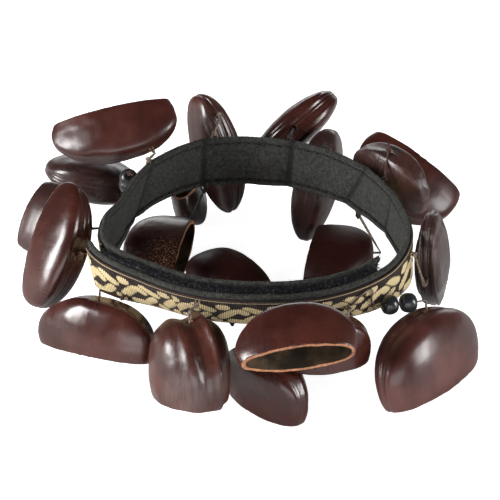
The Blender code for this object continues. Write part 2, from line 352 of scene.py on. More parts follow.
def rimFinish():
    look = {"deep": (0.30, 0.115, 0.05), "pale": (0.66, 0.31, 0.165), "stain": (0.17, 0.066, 0.035),
            "fibres": (0.32, 0.7), "stains": (0.52, 0.72), "rough": (0.5, 0.75), "relief": 0.18 * mm}
    made = Finish("sawnRim", Specular_IOR_Level=0.3)
    fibre = made.noise(scale=1100.0, detail=5.0, rough=0.65)
    stain = made.noise(scale=190.0)
    wood = made.mix(made.step(fibre, *look["fibres"]), look["deep"], look["pale"])
    return made.done(made.mix(made.step(stain, *look["stains"]), wood, look["stain"]),
                     made.spread(fibre, *look["rough"]), fibre, look["relief"])


def hollowFinish():
    look = {"deep": (0.042, 0.032, 0.022), "pale": (0.15, 0.1, 0.06), "patches": (0.36, 0.66),
            "rough": (0.55, 0.8), "grainHigh": 0.4, "relief": 0.3 * mm}
    made = Finish("nutHollow", Specular_IOR_Level=0.3)
    lining = made.noise(scale=130.0, detail=4.0)
    grain = made.noise(scale=1400.0, detail=4.0, rough=0.6)
    return made.done(made.mix(made.step(lining, *look["patches"]), look["deep"], look["pale"]),
                     made.spread(lining, *look["rough"]), lining + grain * look["grainHigh"], look["relief"])


# what all the lacquers share
lacquerCut = {"streaks": (0.16, 1.0, 1.0), "veins": (1.0, 1.0, 0.14), "cloud": (0.3, 0.72), "cloudTone": 0.8,
              "dustAndSheen": (0.46, 0.74), "bloom": (0.5, 0.55), "bloomVeins": (0.3, 0.62, 0.35, 1.0),
              "speck": (0.52, 0.66), "scuff": (0.3, 1.0), "seam": 0.55, "seamDark": 0.6, "dull": (0.25, 0.75),
              "dullBy": (-0.03, 0.05), "veinRough": 1.5, "veinHigh": 0.7, "speckHigh": 0.12}


def lacquerFinish(name, turned, look):
    # lacquered nut; the grain runs along the nut, so the coordinates are turned to lie as it does
    made, cut = Finish("lacquer." + name, Specular_IOR_Level=look["gloss"], Coat_Weight=look["coat"],
                       Coat_Roughness=0.15), lacquerCut
    back = turned.inverted()
    local = made.node("Mapping", {"Vector": made.coords(), "Location": back.to_translation(),
                                  "Rotation": back.to_euler()}).outputs[0]
    cloud = made.noise(scale=75.0, at=local)
    streak = made.noise(scale=620.0, detail=5.0, rough=0.6, at=made.stretch(local, cut["streaks"]))
    veins = made.noise(scale=1000.0, detail=5.0, rough=0.65, at=made.stretch(local, cut["veins"]))
    speck = made.noise(scale=2100.0, rough=0.7, at=local)
    tone = made.step(cloud, *cut["cloud"]) * cut["cloudTone"] + (streak - 0.5) * look["streak"]
    body = made.mix(tone, look["dark"], look["red"])
    # grey haze along the veins: dust, and on corner_right also painted reflection
    body = made.mix(made.step(veins, *cut["dustAndSheen"]) * look["dustAndSheen"], body, look["haze"])
    if look["bloom"]:     # grey dust that lies round one spot
        dusty = made.near(local, look["bloom"], *cut["bloom"]) * made.step(veins, *cut["bloomVeins"])
        body = made.mix(dusty, body, look["haze"])
    worn = made.step(speck, *cut["speck"])
    if look["scuff"]:     # lacquer rubbed off round one spot
        worn = worn * made.near(local, look["scuff"], *cut["scuff"])
    body = made.mix(worn * look["speck"], body, look["bare"])
    seam = made.attribute("band") * (cut["seam"] * look["seam"])
    dull = made.step(cloud, *cut["dull"], *[look["rough"] + by for by in cut["dullBy"]])
    return made.done(made.mix(seam, body, [c * cut["seamDark"] for c in look["red"]]),
                     dull + (veins - 0.5) * (cut["veinRough"] * look["grain"]),
                     streak * look["streak"] + veins * cut["veinHigh"] + speck * cut["speckHigh"],
                     look["grain"] * mm)


cotton, grip, ribbonGold = cottonFinish(), gripFinish(), ribbonFinish()
tanCord = cordFinish("tanCord", (0.09, 0.066, 0.048), (0.33, 0.255, 0.195))
brownCord = cordFinish("brownCord", (0.022, 0.0095, 0.0075), (0.075, 0.036, 0.027))
blackCord = cordFinish("blackCord", (0.006, 0.005, 0.005), (0.035, 0.028, 0.025))
beadBlack, sawnRim, hollow = beadFinish(), rimFinish(), hollowFinish()
print("finishes ready")


def meshOf(bm, name, materials=()):
    mesh = bpy.data.meshes.new(name)
    bm.to_mesh(mesh)
    bm.free()
    for material in materials:
        mesh.materials.append(material)
    return mesh


def linked(name, data):
    made = bpy.data.objects.new(name, data)
    bpy.context.scene.collection.objects.link(made)
    return made


def place(bm, name, body, materials, nodes=()):
    mesh = meshOf(bm, name, materials)
    mesh.polygons.foreach_set("use_smooth", [True] * len(mesh.polygons))
    made = linked(name, mesh)
    if body:
        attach(made, body)
    if nodes:
        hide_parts(*nodes)
    return made


def addTo(bm, part):
    mesh = meshOf(part, "part")
    bm.from_mesh(mesh)
    bpy.data.meshes.remove(mesh)


def outward(bm):
    bmesh.ops.recalc_face_normals(bm, faces=bm.faces[:])


def facing(at, way):
    return Matrix.Translation(at) @ way.to_track_quat("Z", "Y").to_matrix().to_4x4()


def strand(bm, points, radius, sides=6):
    # a thread swept along points: a ring at each, bridged to the one before
    thread, last, end = bmesh.new(), None, len(points) - 1
    for i, at in enumerate(points):
        way = (points[min(i + 1, end)] - points[max(i - 1, 0)]).normalized()
        size = radius(i / end) if callable(radius) else radius
        ring = bmesh.ops.create_circle(thread, cap_ends=i in (0, end), segments=sides, radius=size,
                                       matrix=facing(at, way))["verts"]
        edges = list({e for v in ring for e in v.link_edges if e.other_vert(v) in ring})
        if last:
            bmesh.ops.bridge_loops(thread, edges=last + edges)
        last = edges
    outward(thread)
    addTo(bm, thread)


def smoothed(points, cuts=4):
    # a soft curve through the points
    curve, end = [], len(points) - 1
    for i in range(end):
        a, b, c, d = [points[max(0, min(end, i + k))] for k in (-1, 0, 1, 2)]
        for k in range(cuts):
            t = k / cuts
            curve.append(0.5 * (2 * b + (c - a) * t + (2 * a - 5 * b + 4 * c - d) * t * t
                                + (3 * b - a - 3 * c + d) * t ** 3))
    return curve + [points[-1]]


def band(start, end, step, profile, relief, shade=None):
    # a strip wound along the strap; profile is a closed loop of (height, depth) and relief moves its points
    count, loops = max(2, round((end - start) / step)), len(profile)
    bm = bmesh.new()
    bmesh.ops.create_grid(bm, x_segments=count, y_segments=loops, size=0.5)
    uv, dark = bm.loops.layers.uv.new("cloth"), bm.verts.layers.float.new("fold")
    spots = {v: (round((v.co.x + 0.5) * count), round((v.co.y + 0.5) * loops)) for v in bm.verts}
    winds = [start + (end - start) * k / count for k in range(count + 1)]
    run = [0.0]
    for k in range(count):
        a, b = [onStrap(wind, strapCut["middle"], 0) for wind in winds[k:k + 2]]
        run.append(run[-1] + (b - a).length)
    along = [(far - run[-1]) / mm for far in run]     # counted back from the strip's end
    for f in bm.faces:
        for loop in f.loops:
            i, j = spots[loop.vert]
            loop[uv].uv = along[i], upCloth(profile[j % loops][0])
    for v, (i, j) in spots.items():
        height, depth = profile[j % loops]
        # the fold attribute carries painted shade for the cloth's folds
        v[dark] = shade(winds[i], height) if shade else 0.0
        v.co = onStrap(winds[i], *relief(winds[i], height, depth, along[i]))
    bmesh.ops.remove_doubles(bm, verts=bm.verts[:], dist=1e-7)
    bmesh.ops.holes_fill(bm, edges=[e for e in bm.edges if e.is_boundary], sides=0)
    outward(bm)
    return bm


hairCut = {"lengths": (0.4, 1.3), "root": 1.1, "taper": 0.7}


def fibres(bm, roots, long, thick, curl):
    # short hairs that stand on the roots, each (point, direction)
    for at, way in roots:
        length = long * dice.uniform(*hairCut["lengths"])
        bend = Vector([dice.gauss(0, 1) for i in range(3)]) * curl * length
        points = [at + way * length * t + bend * t * t for t in (0, 0.5, 1)]
        strand(bm, points, lambda t: thick * (hairCut["root"] - hairCut["taper"] * t), sides=3)


# strap: a cotton band with a rolled, stitched hem along both edges
strapLook = {
    "hem": 2.3 * mm, "waist": 0.3 * mm, "edge": 0.5 * mm, "edgeSlim": 0.4 * mm, "join": 447, "step": 0.6,
    "tabStep": 0.75, "bend": 5, "shadeWide": 1.4, "foldWide": 3.0, "foldDeep": 0.2, "cutEnd": 1,
    # scale and height in mm of the cloth's waves, its wandering edge and its ragged ends
    "waves": [(55, 0.17), (160, 0.08)], "edgeScale": Vector((0.13, 60, 0)), "edgeWander": 0.2,
    "ragged": (900, 0.3),
    # mm up the cloth, closer at the hems
    "rows": [0.15, 0.7, 1.3, 1.85, 2.3, 2.75, 4, 6, 8, 10, 12, 14, 15.25, 15.7, 16.15, 16.7, 17.3, 17.85],
    # where each fold crosses the cloth, how deep it is and how far it slants
    "creases": [(70, 0.6, 0), (99, 0.5, 0), (143, 1.2, 3), (163, 1.2, -3), (183, 3.0, 11), (213, 2.4, 1),
                (229, 0.9, 0), (245, 3.2, 2), (276, 3.2, 13), (303, 2.4, 7)],
}
stitchCut = {"first": 2, "last": 446, "every": 4, "long": 2.8, "dip": 0.22 * mm, "thick": 0.17 * mm}
lintCut = {"count": 1500, "topShare": 0.7, "lean": 0.7, "long": 0.5 * mm, "thick": 0.055 * mm, "curl": 0.7}
fluffDeep = (0.3, 1.3)     # mm into the cloth, for lint and frayed thread
join = strapLook["join"]


def strapProfile():
    width, thick, hem = strapCut["width"], strapCut["thick"], strapLook["hem"]
    outer, inner = [], []
    for row in strapLook["rows"]:
        height = row * mm
        edge = min(height, width - height)
        slim = strapLook["waist"] if edge > hem else 0.0
        if abs(edge - hem) < 0.1 * mm:
            slim = strapLook["waist"] * 2.0      # the stitches draw the cloth in
        if edge < strapLook["edge"]:
            slim = strapLook["edgeSlim"]
        outer.append((height, thick - slim))
        inner.append((height, slim))
    return outer + [(width, thick / 2)] + inner[::-1] + [(0.0, thick / 2)]


def creaseAt(wind, height, wide=strapLook["shadeWide"]):
    # how deep the folds across the cloth are here
    share = height / strapCut["width"] - 0.5
    return sum(deep * (1 - 0.5 * share) * math.exp(-((wind - at - slant * share) / wide) ** 2)
               for at, deep, slant in strapLook["creases"])


def strapRelief(wind, height, depth, along):
    spot = onStrap(wind, height, 0)
    wave = sum(noise.noise(spot * scale) * high for scale, high in strapLook["waves"])
    edge = noise.noise(Vector((wind, height, 0)) * strapLook["edgeScale"]) * strapLook["edgeWander"]
    if wind < strapLook["cutEnd"] or wind > strapCut["tabEnd"] - strapLook["cutEnd"]:
        scale, high = strapLook["ragged"]
        edge += noise.noise(spot * scale) * high
    fold = creaseAt(wind, height, strapLook["foldWide"]) * strapLook["foldDeep"]
    return height + edge * mm, depth + (wave + fold) * mm


def bends(made):
    # cloth that runs over the place where the tab peels; its placing is baked into its points, and it is not
    # bent there
    before, after = [onStrap(strapCut["tabStart"] + way * strapLook["bend"], strapCut["middle"], 0)
                     for way in (-1, 1)]
    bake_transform(made)


# creaseAt also paints shade into the strap's folds, through the fold attribute
place(band(0, join, strapLook["step"], strapProfile(), strapRelief, creaseAt), "strapBand", "strap",
      [cotton], ["strap"])
bends(place(band(join, strapCut["tabEnd"], strapLook["tabStep"], strapProfile(), strapRelief), "tabBand",
            None, [cotton], ["tab"]))

bm = bmesh.new()
for first in range(stitchCut["first"], stitchCut["last"], stitchCut["every"]):
    for hemLine in (strapLook["hem"], strapCut["width"] - strapLook["hem"]):
        points = []
        for t in (0.0, 0.25, 0.5, 0.75, 1.0):
            wind = first + stitchCut["long"] * t
            height, depth = strapRelief(wind, hemLine, stitchCut["dip"], 0)
            points.append(onStrap(wind, height, depth - math.sin(math.pi * t) * stitchCut["dip"]))
        strand(bm, points, stitchCut["thick"], 5)
place(bm, "hemStitches", "strap", [blackCord])

roots = []
for i in range(lintCut["count"]):
    wind, top = round(dice.uniform(0, join), 2), dice.random() < lintCut["topShare"]
    up, face = strapFrame(wind)[3:5]
    at = onStrap(wind, strapCut["width"] if top else 0.0, dice.uniform(*fluffDeep) * mm)
    roots.append((at, ((up if top else -up) + face * dice.gauss(0, lintCut["lean"])).normalized()))
bm = bmesh.new()
fibres(bm, roots, lintCut["long"], lintCut["thick"], lintCut["curl"])
place(bm, "strapLint", "strap", [cotton])
print("strap done")


# ribbon: the gold braid stands a little above its brown ground
ribbonLook = {"raise": 0.17 * mm, "ground": 0.1 * mm, "under": 0.25 * mm, "follow": 0.8, "rows": 54,
              "step": 0.34}


def ribbonProfile():
    width, rows = ribbonCut["width"], ribbonLook["rows"]
    low, back = (strapCut["width"] - width) / 2, ribbonAt - ribbonLook["under"]
    front = [(low + width * k / rows, ribbonFace - ribbonLook["ground"]) for k in range(rows + 1)]
    return front + [(low + width, back), (low, back)]


def ribbonRelief(wind, height, depth, along):
    moved = strapRelief(wind, height, 0, 0)[1]
    if depth > ribbonAt:
        depth += ribbonLook["raise"] * braid(along, upCloth(height), Counted())
    return height, depth + moved * ribbonLook["follow"]


place(band(ribbonCut["start"], join, ribbonLook["step"], ribbonProfile(), ribbonRelief), "ribbonBand",
      "strap", [ribbonGold], ["ribbon"])
bends(place(band(join, strapCut["tabEnd"], ribbonLook["step"], ribbonProfile(), ribbonRelief),
            "tabRibbonBand", None, [ribbonGold], ["tab_ribbon"]))
print("ribbon done")


# hook and loop: two fuzzy strips face to face between the laps
gripLook = {"loopRun": (5, 110), "hookStart": 365, "hookEnd": 480, "low": 3 * mm, "high": 17.4 * mm,
            "rows": 12, "step": 0.6, "hairs": 2600, "long": 0.95 * mm, "thick": 0.07 * mm, "curl": 0.6,
            "lean": 0.5, "rooted": 0.4 * mm, "rootsIn": (0.1, 0.9), "edgeRough": (500, 0.3 * mm),
            "faceRough": (700, 0.18 * mm)}
hookAt = -strapCut["fit"] - strapCut["grip"]


def gripRelief(wind, height, depth, along):
    spot = onStrap(wind, height, depth)
    (edgeScale, edge), (faceScale, face) = gripLook["edgeRough"], gripLook["faceRough"]
    return height + noise.noise(spot * edgeScale) * edge, depth + noise.noise(spot * faceScale) * face


def gripStrip(name, start, end, depth, body, nodes, hairs):
    low, high, thick = gripLook["low"], gripLook["high"], strapCut["grip"]
    rows = [low + (high - low) * k / gripLook["rows"] for k in range(gripLook["rows"] + 1)]
    profile = [(h, depth + thick) for h in rows] + [(h, depth) for h in rows[::-1]]
    bm = band(start, end, gripLook["step"], profile, gripRelief)
    roots = []
    for i in range(hairs):
        wind = round(dice.uniform(start, end), 2)
        up, face = strapFrame(wind)[3:5]
        way = (up + face * dice.gauss(0, gripLook["lean"])).normalized()
        deep = depth + thick * dice.uniform(*gripLook["rootsIn"])
        roots.append((onStrap(wind, high - gripLook["rooted"], deep), way))
    fibres(bm, roots, gripLook["long"], gripLook["thick"], gripLook["curl"])
    return place(bm, name, body, [grip], nodes)


gripStrip("loopStrip", *gripLook["loopRun"], ribbonAt, "strap", ["loop_strip"], gripLook["hairs"])
gripStrip("hookStrip", gripLook["hookStart"], join, hookAt, "strap", ["hook_strip"], gripLook["hairs"])
bends(gripStrip("tabHookStrip", join, gripLook["hookEnd"], hookAt, None, ["tab_hook"],
                gripLook["hairs"] // 4))
print("hook and loop done")


# frayed thread at the two cut ends of the strap
frayCut = {"count": 90, "low": 0.3, "high": 17.7, "rooted": 0.4, "long": 2.2 * mm, "thick": 0.09 * mm,
           "curl": 0.35, "leanUp": 0.25, "leanOut": 0.2}


def frayed(name, wind, sign, body):
    corner, ahead, out, up, face = strapFrame(wind)
    roots = []
    for i in range(frayCut["count"]):
        height = dice.uniform(frayCut["low"], frayCut["high"]) * mm
        way = -ahead * sign + up * dice.gauss(0, frayCut["leanUp"]) + face * dice.gauss(0, frayCut["leanOut"])
        way.normalize()
        roots.append((onStrap(wind - sign * frayCut["rooted"], height, dice.uniform(*fluffDeep) * mm), way))
    bm = bmesh.new()
    fibres(bm, roots, frayCut["long"], frayCut["thick"], frayCut["curl"])
    place(bm, name, body, [cotton])


frayed("frayedInner", 0, -1, "strap")
frayed("frayedTab", strapCut["tabEnd"], 1, "tab")
print("frayed ends done")


# nut shells: sawn half nuts; x runs along the nut, y through it, z from its mouth to its keel
nutCut = {"wall": 1.5 * mm, "lining": 0.85, "keelHalf": 2.4 * mm, "sawnBelow": 0.42, "blunt": 0.92,
          "tipDrop": 0.14, "tipThin": 0.2, "cheek": 0.75, "hole": 1.1 * mm, "bit": 9 * mm, "around": 144,
          "across": 76, "bandShare": 0.24, "keelEnds": 0.3, "shrink": 0.2 * mm, "rimFade": 1.5 * mm}
# scales of the nut's relief, and its heights as shares of those in the look
nutGrain = {"lumps": 90, "fine": 300, "fineShare": 0.25, "lumpSink": 0.3, "flutes": Vector((45, 260, 260)),
            "fluteRise": 0.6, "fluteSink": 0.45, "wander": 120, "wanderBy": 0.6, "atRim": 0.35,
            "rim": 260, "rimRough": 0.22 * mm, "rimUp": 0.1 * mm, "lining": 150, "liningRough": 0.35 * mm}
# the keel's groove and the raised line at each side of its band: height in mm, width
seamCut = {"groove": (-0.3, 0.13), "line": (0.2, 0.1), "fade": 2.5}
tieCut = {"clear": 1.6 * mm, "reach": 2 * mm, "beadReach": 2.6 * mm, "twist": 0.2 * mm, "knot": 0.8 * mm,
          "stop": 1.6 * mm, "stopCore": 0.75, "stopAt": 1.2 * mm, "tailAt": 1.6 * mm, "through": 0.4 * mm,
          "thread": 0.3 * mm, "turns": 8, "bend": 1.2 * mm, "bendApart": 0.3, "holeApart": 0.36,
          # how far apart the two threads are, mm, in the cloth, over it and at the knot
          "rootDeep": 0.5 * mm, "rootApart": 1.1, "footShare": 0.45, "footApart": 0.9, "knotApart": 0.4,
          "tail": 1.6, "tailBend": 1.7, "tailApart": 0.5, "tailSpread": (0.5, 1.2), "stopThick": 1.1,
          "tailThick": 0.9}

plainRed = {"dark": (0.034, 0.0085, 0.0064), "red": (0.068, 0.0165, 0.0108), "haze": (0.1, 0.045, 0.036),
            "bare": (0.34, 0.2, 0.12), "dustAndSheen": 0.06, "bloom": None, "speck": 0.0, "scuff": None,
            "rough": 0.26, "coat": 0.15, "gloss": 0.5, "grain": 0.055, "streak": 0.16, "seam": 0.3,
            "flutes": 0.0, "lumps": 0.28, "pleats": [], "flare": 0.0, "trim": 0.0}
greyNut = dict(plainRed, dark=(0.03, 0.0135, 0.0115), red=(0.06, 0.025, 0.021), haze=(0.14, 0.1, 0.094),
               dustAndSheen=0.2, rough=0.3, grain=0.06)
roughNut = dict(greyNut, grain=0.2, flutes=0.35, lumps=0.4, rough=0.33, streak=0.5)

# sewn at (polar angle, height or edge), hang (out, round, up mm), way of the mouth, long way, size in mm,
# hole in degrees along the keel, look
nuts = {
    "front_left": (
        (212, 5), (5.1, -5, 1), (-0.1, -0.33, -0.94), (0.89, -0.45, 0), (41, 18, 15), 0,
        dict(plainRed, red=(0.082, 0.022, 0.016), dustAndSheen=0.15, rough=0.23, seam=0.12)),
    "front_ridged": (
        (247, 15), (6, 0, -1), (0, -0.2, -0.98), (-0.35, 0.93, 0), (32, 25, 24), 0,
        dict(roughNut, dark=(0.035, 0.0095, 0.0075), red=(0.09, 0.021, 0.012), haze=(0.125, 0.088, 0.083),
             dustAndSheen=0.12, speck=0.1, flutes=0.06, flare=0.05, seam=0.1, grain=0.12, bloom=(-11, 5, 6, 9.5),
             pleats=[(-6.4, 1.5, -1.3), (-3.9, 0.8, 1.2), (0.5, 2.4, -0.9), (7.0, 1.8, -0.5)])),
    "front_open": (
        (282, 13), (6, -0.6, 5), (0.12, -0.9, -0.4), (1, 0.03, 0.05), (37, 18, 15), 0,
        dict(plainRed, red=(0.075, 0.02, 0.0135), grain=0.07, seam=0.1)),
    "front_low": (
        (268, 2), (-1.4, 3.4, -7.9), (0, 0, -1), (0.66, -0.75, 0), (36, 20, 16), 0,
        dict(plainRed, seam=0.2)),
    "front_right": (
        (305, 9), (5, -4, 1), (0, 0.12, -0.98), (0.97, 0.24, -0.14), (27, 18, 12), 20,
        dict(plainRed, trim=0.25 * mm)),
    # painted reflection: corner_right's lacquer is made lighter and greyer for the floor's pinkish reflection
    # on its face
    "corner_right": (
        (316, 6), (9, 14, -2.6), (0.2, -0.16, -0.96), (-0.64, -0.77, 0), (47, 24, 20), -8,
        dict(plainRed, red=(0.138, 0.044, 0.037), dark=(0.05, 0.0135, 0.0105), dustAndSheen=0.3, rough=0.32,
             lumps=0.2, trim=0.1 * mm, pleats=[(0, 0.6, -0.2)])),
    "right_side": (
        (335, 15), (2.6, 7, -14), (0.25, 0.95, 0.1), (-0.12, -0.1, 1), (34, 18, 10), 0,
        dict(roughNut, flutes=0.2,
             pleats=[(-3.4, 0.5, -0.6), (-1.1, 0.5, -0.7), (1.2, 0.5, -0.7), (3.3, 0.5, -0.6)])),
    "right_back_high": (
        (45, "low"), (16, 12, -4), (0.57, 0.69, 0.4), (0.77, -0.4, -0.5), (39, 21, 15), -10,
        dict(plainRed, red=(0.076, 0.019, 0.013), seam=0.2, rough=0.33, coat=0.05, gloss=0.35)),
    "right_back_rough": (
        (33, 16), (5.8, 8.2, 6), (0.05, 0.1, -1), (0.66, -0.65, -0.4), (34, 18, 12), 0,
        dict(roughNut, red=(0.075, 0.026, 0.02), flutes=0.5)),
    "back_right_small": (
        (63, "top"), (9, 11, -11.5), (0.3, 0.8, -0.4), (0.28, 0.5, 0.82), (40, 17, 14), 30,
        greyNut),
    "back_tall": (
        (78, "top"), (22, 7, -9), (0, 0.87, -0.5), (0.76, 0.33, 0.56), (39, 18, 14), 0,
        dict(plainRed, grain=0.05, seam=0.5, pleats=[(1.2, 0.3, -0.2), (3.4, 0.4, -0.25)])),
    "back_keel": (
        (106, "top"), (14, -4, -0.5), (-0.6, 0.77, -0.2), (-0.45, 0.4, 0.8), (45, 16, 14), 45,
        dict(greyNut, red=(0.072, 0.02, 0.014), seam=1.0, pleats=[(0, 0.4, -0.2)])),
    "left_back_high": (
        (138, "top"), (2.8, -6.8, 0.2), (-0.2, 0.75, 0.6), (1, 0.1, 0.2), (43, 17, 13), 28,
        dict(plainRed, red=(0.074, 0.017, 0.012), grain=0.08, rough=0.34, lumps=0.45)),
    "left_back_low": (
        (146, 17), (10.1, -17.2, -18), (-0.3, 0.9, -0.1), (0.95, 0.2, -0.3), (33, 18, 15), 25,
        greyNut),
    "left_far": (
        (174, 8), (15, -3, -5), (-0.8, 0.6, 0), (-0.25, -0.6, -0.75), (25, 15, 13), 0,
        dict(greyNut, red=(0.06, 0.022, 0.018))),
    "left_tall": (
        (192, 9), (5, 0, 0), (-0.67, 0.71, -0.17), (-0.3, -0.475, -0.82), (42, 17, 14), 0,
        dict(plainRed, seam=0.6, lumps=0.2)),
    # painted shade: the three inner nuts get darker copies of the red lacquer, for the shade inside the ring
    "inner_left": (
        (135, 2), (7, 3, -22.2), (0.97, -0.2, 0), (0.1, 1, 0.1), (36, 21, 17), -10,
        dict(plainRed, red=(0.034, 0.0082, 0.0056), dark=(0.02, 0.005, 0.0038), speck=0.9,
             scuff=(-9, -7, 4, 11))),
    "inner_front": (
        (258, "low"), (-38, -6, -16.6), (0.71, 0.7, 0), (0.7, -0.71, 0), (34, 18, 20), 40,
        dict(plainRed, red=(0.044, 0.0094, 0.0066), dark=(0.028, 0.006, 0.0046), rough=0.45, coat=0.0,
             gloss=0.25)),
    "inner_right": (
        (56, 2), (5, -9, -21.2), (-0.97, 0.22, 0), (0.22, 0.97, 0.05), (34, 21, 17), 20,
        dict(plainRed, red=(0.027, 0.0062, 0.0045), dark=(0.018, 0.0041, 0.0032), rough=0.48, coat=0.0,
             gloss=0.15)),
    "under_back": (
        (110, "low"), (15, 1, -19.8), (-0.2, 0, 1), (0.1, 1, 0.1), (24, 16, 12), -60,
        greyNut),
}
# how far along its tie each bead is threaded
beads = {"corner_right": (0.3, 0.66), "left_back_low": (0.22, 0.5)}
beadCut = {"bore": 0.85 * mm, "wall": 2.25 * mm, "half": 2.6 * mm, "round": 0.75, "steps": 12, "around": 32}
# the other ties are black
tieCords = {**dict.fromkeys(("front_ridged", "front_right", "corner_right", "right_side", "back_keel",
                             "left_back_high", "inner_right"), tanCord),
            **dict.fromkeys(("front_left", "right_back_rough", "left_tall", "left_back_low"), brownCord)}


def tip(x, share):
    return 1 - share * min(x, 0) ** 2


def blunt(x):
    return math.copysign(abs(x) ** nutCut["blunt"], x)


def keelPoint(length, depth, degrees):
    turn = math.radians(degrees)
    x, below = blunt(math.sin(turn)), nutCut["sawnBelow"]
    z = (blunt(math.cos(turn)) + below) / (1 + below)
    return Vector((length / 2 * x, 0, depth * z * tip(x, nutCut["tipDrop"])))


def holeAt(length, depth, degrees):
    # where the keel is drilled, and the way out of it
    way = keelPoint(length, depth, degrees + 1) - keelPoint(length, depth, degrees - 1)
    return keelPoint(length, depth, degrees), Vector((-way.z, 0, way.x)).normalized()


def ridge(off, height, wide):
    return height * math.exp(-(off / wide) ** 2)


def halfNut(size, wall, seam):
    # one face of the shell: a ball with the cheeks as its poles, pressed to the nut's form and sawn open
    length, depth, thick = size
    below, part = nutCut["sawnBelow"], nutCut["bandShare"]
    bm = bmesh.new()
    bmesh.ops.create_uvsphere(bm, u_segments=nutCut["around"], v_segments=nutCut["across"], radius=1)
    strip = bm.verts.layers.float.new("band")
    yline = bm.verts.layers.float.new("through")
    for v in bm.verts:
        lat = math.asin(max(-1, min(1, v.co.z))) / (math.pi / 2)
        turn = math.atan2(v.co.y, v.co.x)
        t, side = abs(lat), math.copysign(1, lat)
        if t < part:
            inward, through, keelShare, off = 1.0, 0.0, t / part, t / part
        else:
            lean = (t - part) / (1 - part) * math.pi / 2
            n = 2 / (2 + nutCut["cheek"] * max(0.0, math.sin(turn)) ** 2)
            inward, through = math.cos(lean) ** n if t < 0.999 else 0.0, math.sin(lean) ** n
            keelShare, off = 1.0, 1 + (t - part) * 4
        v[strip], v[yline] = side * off, side * through
        v.co = inward * blunt(math.cos(turn)), side * keelShare, inward * blunt(math.sin(turn))
    bmesh.ops.bisect_plane(bm, geom=bm.verts[:] + bm.edges[:] + bm.faces[:], dist=1e-6,
                           plane_co=(0, 0, -below), plane_no=(0, 0, 1), clear_inner=True)
    for v in bm.verts:
        x, keelShare, z = v.co
        crown = max(0.0, z) / max(1e-6, math.hypot(x, z))
        keel = (nutCut["keelHalf"] - 0.5 * wall) * (nutCut["keelEnds"] + (1 - nutCut["keelEnds"]) * crown)
        cheek, off = thick / 2 - wall, abs(v[strip])
        y = math.copysign(keel * abs(keelShare) + (cheek - keel) * abs(v[yline]), v[strip])
        lift = ridge(off, *seamCut["groove"]) + ridge(off - 1, *seamCut["line"])
        lift *= seam * mm * min(1, crown * seamCut["fade"])
        v.co = (x * (length / 2 - wall) * (1 + lift / (length / 2)), y * tip(x, nutCut["tipThin"]),
                (depth - wall + lift) * (z + below) / (1 + below) * tip(x, nutCut["tipDrop"]))
        v[strip] = max(0.0, min(1.0, (1.15 - off) * 6)) if seam else 0.0
    outward(bm)
    return bm


def nutRelief(at, seed, look):
    # lumps, flutes that run along the nut and pleats, in mm
    cut, spot = nutGrain, at + seed
    rough = noise.noise(spot * cut["lumps"]) + noise.noise(spot * cut["fine"]) * cut["fineShare"]
    move = (rough - cut["lumpSink"]) * look["lumps"]
    if look["flutes"]:
        row = 1 - 2 * abs(noise.noise(at * cut["flutes"] + seed))
        move += (row * cut["fluteRise"] - cut["fluteSink"]) * look["flutes"]
    for through, wide, rise in look["pleats"]:
        wander = through + noise.noise(Vector((at.x * cut["wander"], through, 3))) * cut["wanderBy"]
        move += ridge(at.y / mm - wander, rise, wide)
    return move


def flare(v, look, depth):
    # the mouth spreads
    spread = 1 + look["flare"] * (1 - v.co.z / depth) ** 2
    v.co.x, v.co.y = v.co.x * spread, v.co.y * spread


def rimAt(spot):
    # height of the sawn rim
    return noise.noise(spot * nutGrain["rim"]) * nutGrain["rimRough"] + nutGrain["rimUp"]


def nutShell(name, size, hole, turned, look):
    size = [s * mm - 2 * (nutCut["shrink"] + look["trim"]) for s in size]
    seed = Vector([dice.uniform(0, 50) for i in range(3)])
    outer = halfNut(size, 0.0, look["seam"])
    for v in outer.verts:
        spot, move = v.co + seed, nutRelief(v.co, seed, look)
        flare(v, look, size[1])
        fade = min(1, max(0, v.co.z / nutCut["rimFade"]))
        v.co += v.normal * move * mm * (nutGrain["atRim"] + (1 - nutGrain["atRim"]) * fade)
        if v.is_boundary:
            v.co.z = rimAt(spot)
    inner = halfNut(size, nutCut["wall"] * nutCut["lining"], 0.0)
    for v in inner.verts:
        v.co += v.normal * noise.noise(v.co * nutGrain["lining"] + seed) * nutGrain["liningRough"]
        flare(v, look, size[1])
        if v.is_boundary:
            v.co.z = rimAt(v.co + seed)
    bmesh.ops.reverse_faces(inner, faces=inner.faces[:])
    # material slots: 0 lacquer, 1 sawn rim and hole, 2 hollow
    for f in inner.faces:
        f.material_index = 2
    addTo(outer, inner)
    rim = bmesh.ops.bridge_loops(outer, edges=[e for e in outer.edges if e.is_boundary])["faces"]
    for f in rim:
        f.material_index = 1
    outward(outer)
    for e in outer.edges:
        e.smooth = len({f.material_index for f in e.link_faces}) < 2
    bit = bmesh.new()
    bmesh.ops.create_cone(bit, cap_ends=True, segments=20, radius1=nutCut["hole"], radius2=nutCut["hole"],
                          depth=nutCut["bit"], matrix=facing(*holeAt(size[0], size[1], hole)))
    for f in bit.faces:
        f.material_index = 1
    finishes = [lacquerFinish(name, turned, look), sawnRim, hollow]
    pair = [linked("nut." + name, meshOf(made, "nut." + name, finishes)) for made in (outer, bit)]
    cut = pair[0].modifiers.new("drill", "BOOLEAN")
    cut.object, cut.solver, cut.operation = pair[1], "EXACT", "DIFFERENCE"
    drilled = bpy.data.meshes.new_from_object(pair[0].evaluated_get(bpy.context.evaluated_depsgraph_get()))
    bm = bmesh.new()
    bm.from_mesh(drilled)
    bmesh.ops.transform(bm, matrix=turned, verts=bm.verts[:])
    for mesh in [thing.data for thing in pair] + [drilled]:
        bpy.data.meshes.remove(mesh)     # its object goes with it
    place(bm, "nut." + name, "nut_" + name, finishes, ["shell_" + name])


knotCut = {"steps": 36, "flat": 1.3, "reach": 3.3}


